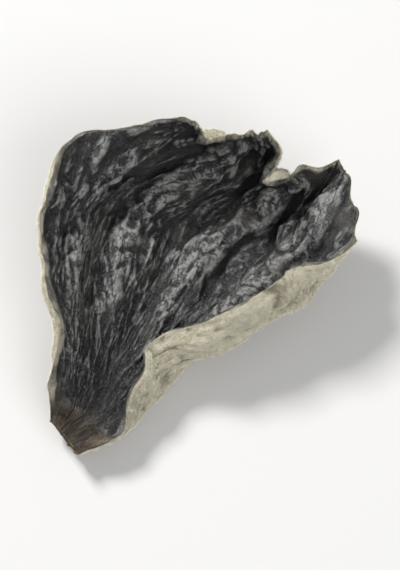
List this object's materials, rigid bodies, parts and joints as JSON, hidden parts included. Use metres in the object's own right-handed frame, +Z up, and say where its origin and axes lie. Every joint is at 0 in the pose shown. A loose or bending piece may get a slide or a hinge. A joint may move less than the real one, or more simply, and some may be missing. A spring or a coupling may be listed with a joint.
{
  "type": "dried wood ear mushroom",
  "caption": "One dried wood ear: a thin crumpled fungus sheet, pleated and cupped, dark on its face and pale and velvety on its back, with a short cut stub.",
  "frame": {"origin": "on the surface that the ear rests on, under the middle of its box", "axes": "+Z up, with the dark face up; +Y from the stub to the far margin; +X to the right of someone who looks along +Y"},
  "size_m": [0.0234, 0.0338, 0.011],
  "materials": {
    "dark_face": "satin, charcoal black",
    "pale_back": "matt and velvety, pale khaki grey"
  },
  "bodies": {
    "root": {"ear": "dark_face"}
  },
  "joints": []
}
